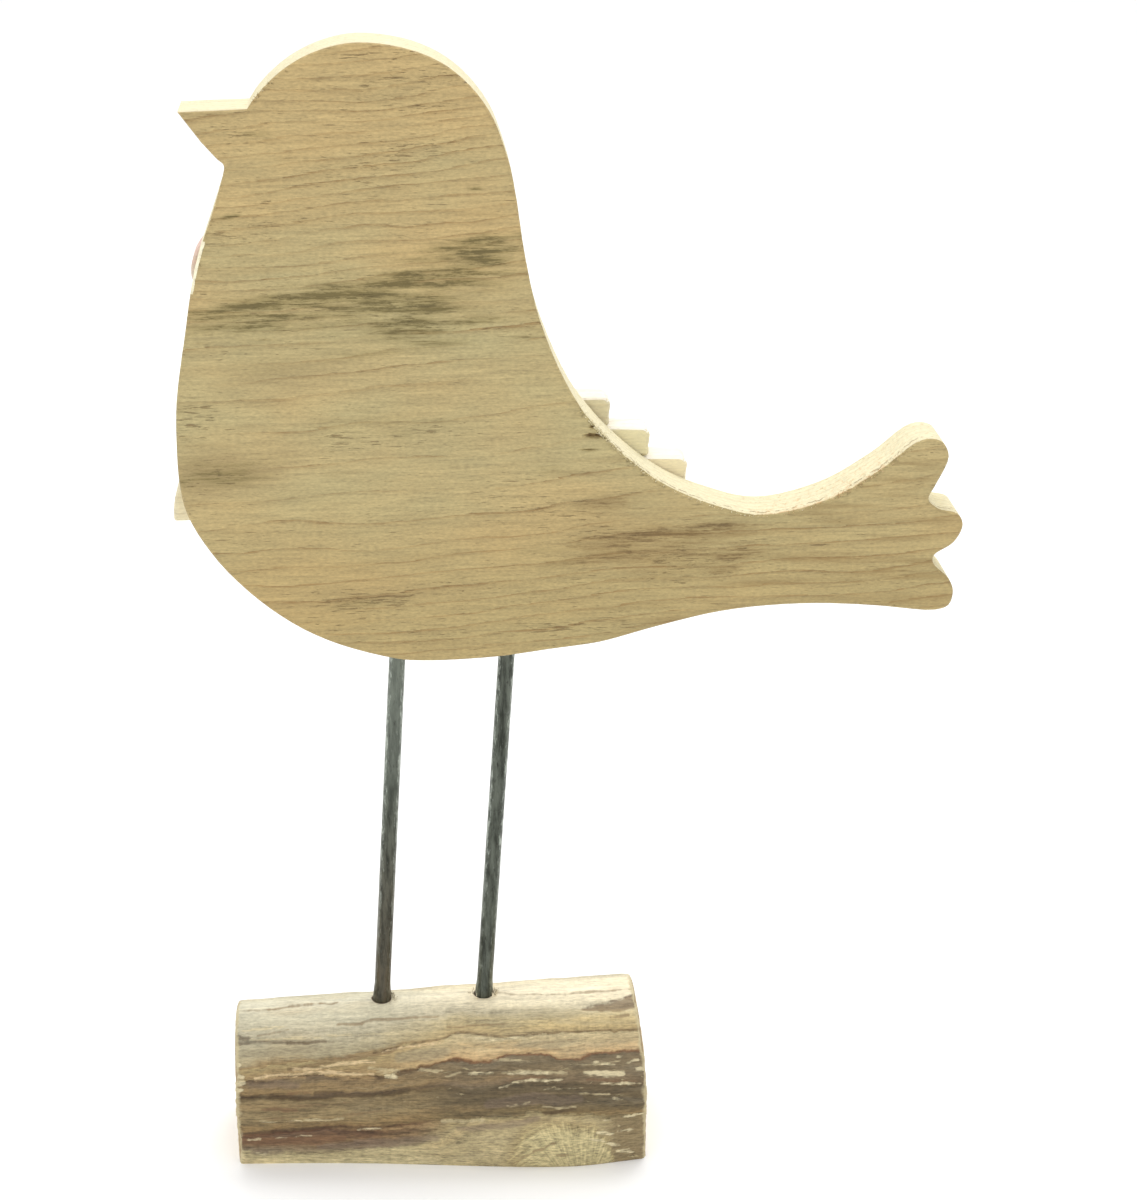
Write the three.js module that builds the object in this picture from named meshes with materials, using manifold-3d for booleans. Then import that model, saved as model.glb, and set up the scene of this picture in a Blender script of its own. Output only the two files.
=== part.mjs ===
// Wooden bird figure: a flat bird sawn from a board, on two round metal legs set in a short log.
// Millimetres, +Z up, +X towards the tail. The board's plain back faces -Y and its front faces +Y.
// The origin is the middle of the log's flat underside.

import * as THREE from 'three';
import { mergeVertices } from 'three/addons/utils/BufferGeometryUtils.js';
import Module from 'manifold-3d';

const wasm = await Module();
wasm.setup();

// The gap that keeps touching pieces apart, and how near two vertices lie to count as one.
const GAP = 0.3;
const WELD = 1e-4;

// The board, which stands in the plane Y = 0.
const BOARD_THICKNESS = 15;
const BOARD_ARRIS = 0.5;
const STEPS_PER_KNOT = 5;
const STEPS_PER_CORNER = 10;

// The bird's outline on that plane as [x, z], clockwise from the corner where the beak meets the head.
const BEAK_TIP = [-56, 277.5];
const HEAD = [
  [-40, 278], [-37.5, 281.5], [-31.5, 287], [-24, 291], [-14.5, 293], [-1.5, 291], [8, 286], [15.8, 277],
];
const BACK = [
  [20.2, 265.5], [22, 256.5], [24, 242.5], [27.5, 226.5], [35, 208.5], [41, 199.8], [49, 191.5],
  [58, 184.5], [70, 179], [82.5, 176], [98.5, 179.5], [111.5, 187],
];
const TAIL_TOP_LOBE = [[121.5, 194.5], [126.5, 194], [128.5, 190], [125.5, 182.5]];
const TAIL_MIDDLE_LOBE = [[124, 179], [126.5, 176.5], [131.5, 175], [133, 172], [131, 167.5]];
const TAIL_LOW_LOBE = [[126, 164], [126, 162], [130, 158], [131.5, 154.5], [130.5, 150.5], [127, 149.3]];
const BELLY = [
  [111, 151], [92.5, 152], [72.5, 150.5], [54, 146.2], [42, 143], [30, 141.5], [16, 139.8], [0, 139.2],
  [-9, 140], [-26, 145.5], [-39.5, 154], [-52, 167], [-58.7, 179], [-60.3, 187],
];
const BREAST = [[-60.5, 197], [-60, 207.5], [-57.1, 224.5], [-53.8, 241], [-49, 254.5], [-46.5, 262]];
const THROAT = [[-46, 265], [-47.5, 266.5], [-51, 270.5]];

// The legs: round metal rods in the board's middle plane, leaning a little towards the beak as they go down.
const LEG_DIAMETER = 4;
const LEG_SIDES = 24;
const LEG_FOOT_Z = 18;
const LEG_HEAD_Z = 160;
const LEGS = {
  leg_front: { xAtLog: -15.2, xAtBoard: -8.8 },
  leg_rear: { xAtLog: 12, xAtBoard: 18.9 },
};
const LOG_LEVEL = 38.5;
const BOARD_LEVEL = 136;
const LOG_HOLE_DIAMETER = 5;
const DRILL_OVERSHOOT = 12;

// The log: a short length of branch with sawn ends, sawn flat below and a little thicker at the tail's end.
const LOG_LEFT = -54;
const LOG_RIGHT = 54;
const LOG_WIDEST_Z = 15;
const LOG_BELOW_WIDEST = 36;
const LOG_CREST = [38.6, 40];
const LOG_NEAR_HALF = [18, 22];
const LOG_FAR_HALF = [16, 26];
const LOG_WORN_EDGE = 1.2;
const LOG_WORN_CORNER = { depth: 2, fromZ: 22, height: 20 };
const LOG_SIDES = 48;
const LOG_STATIONS = 22;
const SAWN_AWAY = 300;
const BURL = { x: 32, reachLeft: 43, reachRight: 20, proud: 5, height: 20 };

// The pieces glued on the board's front: three staggered laths that make a wing, and a round on the breast.
const LATH_THICKNESS = 9;
const LATH_ARRIS = 0.5;
const LATH_END_SWEEP = 0.78;
const LATH_CORNER = 1;
const LATHS = {
  wing_lath_upper: { left: -50, right: 45.5, top: 202.5, bottom: 195 },
  wing_lath_middle: { left: -54, right: 55.5, top: 194.7, bottom: 187 },
  wing_lath_lower: { left: -63.5, right: 65, top: 186.7, bottom: 172.5 },
};
const DISC = { x: -46.5, z: 236, halfWidth: 9.5, above: 10, below: 8, sides: 56 };

// Materials from the photograph, as sRGB.
const material = (color, roughness, metalness = 0) => (
  new THREE.MeshStandardMaterial({ color, roughness, metalness })
);
const boardWood = () => material(0xbfab7e, 0.75);
const lathWood = () => material(0xd8c8a4, 0.8);
const discWood = () => material(0xd9bda8, 0.8);
const logWood = () => material(0xa8956f, 0.85);
const legMetal = () => material(0x5b5f57, 0.45, 0.9);

const figure = new THREE.Group();

function addPiece(name, geometry, finish) {
  const mesh = new THREE.Mesh(geometry, finish);
  mesh.name = name;
  figure.add(mesh);
}

// A closed three.js geometry as a manifold solid.
function toSolid(geometry) {
  const bare = geometry.clone();
  bare.deleteAttribute('normal');
  bare.deleteAttribute('uv');
  const merged = mergeVertices(bare, WELD);
  return new wasm.Manifold(new wasm.Mesh({
    numProp: 3,
    vertProperties: new Float32Array(merged.attributes.position.array),
    triVerts: new Uint32Array(merged.index.array),
  }));
}

function toGeometry(solid) {
  const mesh = solid.getMesh();
  const geometry = new THREE.BufferGeometry();
  geometry.setAttribute('position', new THREE.BufferAttribute(mesh.vertProperties, mesh.numProp));
  geometry.setIndex(new THREE.BufferAttribute(mesh.triVerts, 1));
  geometry.computeVertexNormals();
  return geometry;
}

// A flat piece cut to a shape in the X-Z plane, with worn arrises, from the plane Y = near to the far side.
function sawnFlat(shape, near, thickness, arris) {
  const geometry = new THREE.ExtrudeGeometry(shape, {
    depth: thickness - 2 * arris,
    bevelThickness: arris,
    bevelSize: arris,
    bevelOffset: -arris,
    bevelSegments: 1,
    curveSegments: STEPS_PER_CORNER,
  });
  geometry.rotateX(Math.PI / 2);
  geometry.translate(0, near + thickness - arris, 0);
  return geometry;
}

// A smooth line through the knots, with as many points between any two, so tight bends get the finer steps.
function smoothLine(knots) {
  const through = knots.map(([x, z]) => new THREE.Vector3(x, z, 0));
  const curve = new THREE.CatmullRomCurve3(through, false, 'centripetal');
  return curve.getPoints(STEPS_PER_KNOT * (knots.length - 1)).map((p) => new THREE.Vector2(p.x, p.y));
}

function birdShape() {
  const body = [
    ...HEAD, ...BACK, ...TAIL_TOP_LOBE, ...TAIL_MIDDLE_LOBE, ...TAIL_LOW_LOBE, ...BELLY, ...BREAST, ...THROAT,
  ];
  return new THREE.Shape([new THREE.Vector2(...BEAK_TIP), ...smoothLine(body)]);
}

// A rod or drill along a leg's line, between two heights.
function alongLeg({ xAtLog, xAtBoard }, diameter, zLow, zHigh) {
  const slope = (xAtBoard - xAtLog) / (BOARD_LEVEL - LOG_LEVEL);
  const at = (z) => new THREE.Vector3(xAtLog + slope * (z - LOG_LEVEL), 0, z);
  const low = at(zLow);
  const high = at(zHigh);
  const geometry = new THREE.CylinderGeometry(diameter / 2, diameter / 2, low.distanceTo(high), LEG_SIDES);
  const direction = high.clone().sub(low).normalize();
  geometry.applyQuaternion(new THREE.Quaternion().setFromUnitVectors(new THREE.Vector3(0, 1, 0), direction));
  const middle = low.clone().add(high).multiplyScalar(0.5);
  geometry.translate(middle.x, middle.y, middle.z);
  return geometry;
}

function drill(geometry, diameter, zLow, zHigh) {
  let solid = toSolid(geometry);
  for (const leg of Object.values(LEGS)) {
    solid = solid.subtract(toSolid(alongLeg(leg, diameter, zLow, zHigh)));
  }
  return toGeometry(solid);
}

function board() {
  const flat = sawnFlat(birdShape(), -BOARD_THICKNESS / 2, BOARD_THICKNESS, BOARD_ARRIS);
  return drill(flat, LEG_DIAMETER + 2 * GAP, BOARD_LEVEL - DRILL_OVERSHOOT, LEG_HEAD_Z + GAP);
}

// How far the knot at the foot of the log stands out of it, at a place on its near side.
function burlAt(x, z, towardsNear) {
  const along = (x - BURL.x) / (x < BURL.x ? BURL.reachLeft : BURL.reachRight);
  const up = Math.max(z, 0) / BURL.height;
  return BURL.proud * Math.exp(-along * along - up * up) * Math.max(towardsNear, 0);
}

// A cylinder's grid of vertices, moved onto the log's sections, then sawn flat below and drilled.
// The first and last stations are the worn edges of the two sawn ends.
function log() {
  const geometry = new THREE.CylinderGeometry(1, 1, 1, LOG_SIDES, LOG_STATIONS);
  geometry.rotateZ(-Math.PI / 2);
  const place = geometry.attributes.position;
  for (let i = 0; i < place.count; i += 1) {
    const station = Math.round((place.getX(i) + 0.5) * LOG_STATIONS);
    const isEnd = station === 0 || station === LOG_STATIONS;
    const t = isEnd ? station / LOG_STATIONS : (station - 1) / (LOG_STATIONS - 2);
    const across = -place.getZ(i);
    const up = place.getY(i);
    const worn = isEnd ? LOG_WORN_EDGE : 0;
    const crest = THREE.MathUtils.lerp(...LOG_CREST, t) - worn;
    const half = THREE.MathUtils.lerp(...(across > 0 ? LOG_FAR_HALF : LOG_NEAR_HALF), t) - worn;
    const z = LOG_WIDEST_Z + up * (up > 0 ? crest - LOG_WIDEST_Z : LOG_BELOW_WIDEST);
    const intoCorner = Math.max(0, (z - LOG_WORN_CORNER.fromZ) / LOG_WORN_CORNER.height);
    const left = LOG_LEFT + (isEnd ? 0 : LOG_WORN_EDGE);
    const right = LOG_RIGHT - (isEnd ? 0 : LOG_WORN_EDGE);
    const x = THREE.MathUtils.lerp(left, right, t) - LOG_WORN_CORNER.depth * intoCorner ** 2 * t;
    const y = across * half - burlAt(x, z, -across);
    place.setXYZ(i, x, y, z);
  }
  const under = new THREE.BoxGeometry(SAWN_AWAY, SAWN_AWAY, SAWN_AWAY);
  under.translate(0, 0, -SAWN_AWAY / 2);
  const flatBelow = toGeometry(toSolid(geometry).subtract(toSolid(under)));
  return drill(flatBelow, LOG_HOLE_DIAMETER, LEG_FOOT_Z - GAP, LOG_LEVEL + DRILL_OVERSHOOT);
}

// A lath's outline: square at its tail end, and rounded off from its top edge at its beak end.
function lathShape({ left, right, top, bottom }) {
  const sweep = LATH_END_SWEEP * (top - bottom);
  const shape = new THREE.Shape();
  shape.moveTo(left + LATH_CORNER, bottom);
  shape.lineTo(right - LATH_CORNER, bottom);
  shape.quadraticCurveTo(right, bottom, right, bottom + LATH_CORNER);
  shape.lineTo(right, top - LATH_CORNER);
  shape.quadraticCurveTo(right, top, right - LATH_CORNER, top);
  shape.lineTo(left + sweep, top);
  shape.quadraticCurveTo(left, top, left, bottom + LATH_CORNER);
  shape.quadraticCurveTo(left, bottom, left + LATH_CORNER, bottom);
  return shape;
}

// The round on the breast, a little fuller above its middle than below.
function discShape() {
  const points = Array.from({ length: DISC.sides }, (_, i) => {
    const angle = (2 * Math.PI * i) / DISC.sides;
    const up = Math.sin(angle);
    const halfHeight = up > 0 ? DISC.above : DISC.below;
    return new THREE.Vector2(DISC.x + DISC.halfWidth * Math.cos(angle), DISC.z + halfHeight * up);
  });
  return new THREE.Shape(points);
}

const FRONT = BOARD_THICKNESS / 2 + GAP;

addPiece('bird_board', board(), boardWood());
for (const [name, leg] of Object.entries(LEGS)) {
  addPiece(name, alongLeg(leg, LEG_DIAMETER, LEG_FOOT_Z, LEG_HEAD_Z), legMetal());
}
addPiece('log_base', log(), logWood());
for (const [name, lath] of Object.entries(LATHS)) {
  addPiece(name, sawnFlat(lathShape(lath), FRONT, LATH_THICKNESS, LATH_ARRIS), lathWood());
}
addPiece('breast_disc', sawnFlat(discShape(), FRONT, LATH_THICKNESS, LATH_ARRIS), discWood());

export default figure;
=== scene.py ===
import math
import random

import bmesh
import bpy
from mathutils import Matrix, Vector, noise


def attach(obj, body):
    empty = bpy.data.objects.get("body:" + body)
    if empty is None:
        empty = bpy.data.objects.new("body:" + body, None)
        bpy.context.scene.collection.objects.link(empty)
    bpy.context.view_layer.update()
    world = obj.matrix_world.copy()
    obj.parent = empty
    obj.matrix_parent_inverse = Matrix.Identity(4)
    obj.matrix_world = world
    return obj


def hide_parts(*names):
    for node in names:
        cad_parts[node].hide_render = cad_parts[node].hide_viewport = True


# Looks of the wooden bird figure. Pieces are shaped in millimetres and stored in metres.

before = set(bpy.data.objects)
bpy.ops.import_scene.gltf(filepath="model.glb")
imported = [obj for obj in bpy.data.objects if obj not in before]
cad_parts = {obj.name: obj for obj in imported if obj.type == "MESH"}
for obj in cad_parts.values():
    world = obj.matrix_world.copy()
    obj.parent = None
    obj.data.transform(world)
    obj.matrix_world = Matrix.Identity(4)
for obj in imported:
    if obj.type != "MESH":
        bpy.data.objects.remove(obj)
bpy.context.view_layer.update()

MM = 0.001
chance = random.Random(7)

# The board is 15 mm thick. Distances from its middle: where a flat face ends, where the sawn edge's finish
# ends, where wear begins, and how far the saw's unevenness reaches.
FACE_ENDS = 7.45
ARRIS = 7.05
WEAR_STARTS = 6.5
SAWN_TO = 6.9
# How fine the board is cut up, and finer round its hollows.
BOARD_STEP = {"x": 1.1, "y": 1.4, "z": 0.9}
FINE_STEP = {"x": 0.5, "z": 0.3}
# Where along its length the edge is sawn roughest.
ROUGH_SAWN = (76, 118)
# The breast's near edge, worn wider and painted paler as a highlight: how far towards the beak it is, and
# from and to which height.
HIGHLIT_EDGE_LEFT_OF = -44
HIGHLIT_EDGE_HEIGHTS = (235, 247)
# The nick under the back: its splinters' number, and where their roots are.
NICK_SPLINTERS = 12
NICK = {"x": (40.5, 44.5), "z": (197.2, 200.4)}

# Hollows in the board's plain face: where, half length, half height and depth.
HOLLOWS = [
    (41, 197.5, 3.6, 0.75, 1.1),
    (40.6, 199.7, 1.6, 0.5, 1),
    (39.2, 193.9, 3, 0.35, 0.6),
    (-47, 252.6, 3.2, 0.2, 0.3),
    (-38, 223.2, 4, 0.3, 0.4),
    (-53, 222.5, 4.5, 0.25, 0.3),
]

# The saw has torn the board's edge near the plain face, from this y on and above this height.
TORN_NEAR, TORN_ABOVE = -5.5, 150
# Which way it pulls the fibres, the share that lifts as splinters, and where: from x, to x, and how far.
TORN_PULL = Vector((0.0, 0.7, -0.5))
LIFTED_SHARE = 0.6
TORN = [(37, 58, 1.3), (58, 98, 0.4), (98, 118, 1), (-39.5, -35, 0.9)]

# Grey-olive stains on the plain face: where, half length, half height and strength.
STAINS = [
    (-48.9, 229.6, 8.5, 1, 1), (-37, 229.3, 4, 0.7, 1.3), (-46.5, 226.4, 11, 1.2, 0.8),
    (-21, 233.8, 13, 2.3, 1), (-37, 232, 11, 1.5, 0.75), (-4, 237.3, 11, 1.6, 0.75), (9, 238, 9, 2.2, 0.6),
    (-3.5, 226, 9, 3, 0.95), (3, 221.5, 8, 1.6, 0.5), (1.5, 230.6, 4.5, 1.6, 0.95),
    (-6, 231.8, 9, 1.2, 0.8), (15.5, 246.6, 9.5, 1.3, 0.95), (12, 244, 13, 1.2, 0.8),
    (14.5, 241.8, 4, 1.3, 0.9), (14, 227, 16, 1.3, 0.45), (26.1, 223.6, 5, 1.6, 0.7),
    (-22, 230, 34, 6.5, 0.46), (6, 239, 22, 8, 0.4), (-12, 219.5, 12, 1.6, 0.4), (-36.6, 272.3, 6, 1, 0.5),
    (11.5, 258.6, 2, 0.6, 0.9), (-45.6, 253, 4.5, 0.6, 0.7), (-52, 190.5, 16, 4.5, 0.5),
    (-50, 187.5, 11, 2.6, 0.3), (-38, 216, 17, 4.5, 0.24), (-60.5, 188.4, 4, 0.7, 0.7),
    (-17, 155.5, 12, 2.6, 0.3), (-20, 200, 18, 4.5, 0.2), (-2, 201, 9, 2.6, 0.3), (32, 188.5, 9, 1.6, 0.5),
    (43, 180, 9, 2.5, 0.6), (61, 172.3, 13, 1.7, 0.75), (72, 173.2, 9, 1.2, 0.85),
    (77.5, 165.5, 7, 1.2, 0.6), (71.6, 161.6, 5, 0.9, 0.75), (42, 168, 14, 3, 0.55),
    (60, 168, 34, 12, 0.42),
]

# Where the plain face is pitted with short dark pores: where, half length, half height and strength.
PITTED = [
    (-15.5, 155.5, 12, 2.8, 1), (-18.5, 197, 10, 3.2, 0.8), (0, 199.8, 6, 2.4, 0.6),
    (30, 178.5, 16, 4.5, 0.7), (43, 172.5, 6, 3.2, 0.9), (-54, 190, 10, 5, 0.6), (-56, 204, 9, 6, 0.8),
    (32, 147.5, 9, 1.6, 0.8), (62, 164, 20, 8, 0.5), (-42, 272.2, 6, 1.6, 0.8), (-6, 267, 13, 3.8, 0.7),
    (-39.5, 255.8, 5, 1.2, 0.7), (-44, 249, 12, 4, 0.6), (-10, 290, 7, 1.6, 0.8), (-2, 285, 12, 2, 0.7),
    (-2, 278.2, 8, 1.4, 0.7), (-30, 231, 34, 7, 0.5), (0, 152, 62, 15, 0.36), (-18, 268, 40, 26, 0.2),
]

# Where the plain face has darkened softly: where, half length, half height and strength.
BROWNED = [
    (-52, 190, 16, 6, 1.35), (-34, 214.5, 22, 5, 0.5), (-17, 157, 22, 5, 0.5), (8, 198, 18, 5, 0.25),
    (48, 176, 22, 5, 0.3),
]

# Growth rings on the plain face: how far apart they lie at a height.
RING_SPACING = [
    (136, 2.8), (158, 3.2), (172, 4.8), (188, 9.5), (202, 10.5), (212, 5.5), (226, 3), (250, 2.7),
    (295, 2.9),
]

# The log, as the solid has it.
LOG_LEFT, LOG_RIGHT = -54.0, 54.0
LOG_WIDEST = 15.0
LOG_BELOW = 36.0
LOG_CREST = (38.6, 40.0)
LOG_NEAR = (18.0, 22.0)
LOG_FAR = (16.0, 26.0)
LOG_EDGE = 1.2
LOG_CORNER = (2.0, 22.0, 20.0)
BURL = {"x": 32.0, "left": 43.0, "right": 20.0, "proud": 5.0, "height": 20.0}
LOG_SIDES = 236
LOG_CUTS = 232
# How much closer the rows of faces lie on the plain side.
LOG_CROWDING = 0.4
END_RINGS = 14
# The heart of its ends, as y and z.
LOG_HEART = (2.0, 17.0)
# Its two holes, and how many splinters each has.
HOLE_RADIUS = 2.45
HOLE_BACK = 0.25
HOLE_ENDS = (17.7, 55.0)
HOLE_SPLINTERS = 30

# The log's layers are painted and cut by lift, a height over its near side as it is seen from above.
LIFT = (0.857, -0.515)
LIFT_TOP = 34.0
LIFT_FOOT = -14.0
LAYERS = [
    [(-54, 15.6), (-40, 17.4), (-26, 17.4), (-20, 18.7), (-7, 20.9), (0, 21.9), (3.4, 23.2), (6.3, 23.6),
     (11.5, 22.8), (17, 22.1), (28, 22.8), (36, 22.8), (54, 23)],
    [(-54, 13), (-49, 13.4), (-43, 13.9), (-33, 14.1), (-24, 13.3), (-17, 13), (-3, 15.6), (3, 16.9),
     (8.4, 15.9), (13, 16), (17, 17.5), (26, 17.5), (32, 15.9), (36.6, 15.7), (40, 16.7), (46, 17.3),
     (54, 17.3)],
    [(-54, 9.1), (-44, 8.9), (-38, 8.1), (-31, 8.3), (-26, 8.7), (-18, 8.5), (-8, 9.1), (0, 10.1), (8, 9),
     (18, 10.5), (54, 8.6)],
    [(-54, -0.5), (-47, -0.2), (-38, 0.1), (-29, 0.7), (-19, -0.2), (-12, 0.5), (4, 1.5), (20, 1.7),
     (24, 2.7), (30, 1.7), (54, 0.9)],
    [(-54, -5.2), (-46, -5.9), (-33, -6.2), (-21, -5.9), (-9, -5.5), (-1, -4.3), (4, -2), (8, 0.5),
     (20, 1), (54, 0.2)],
]
# How proud each layer stands, at its upper and lower border.
LAYER_RELIEF = [(0.1, -0.1), (-0.35, -0.5), (0.1, -0.15), (0.15, 0.1), (-0.3, -0.25), (0.0, 0.05)]

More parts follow.
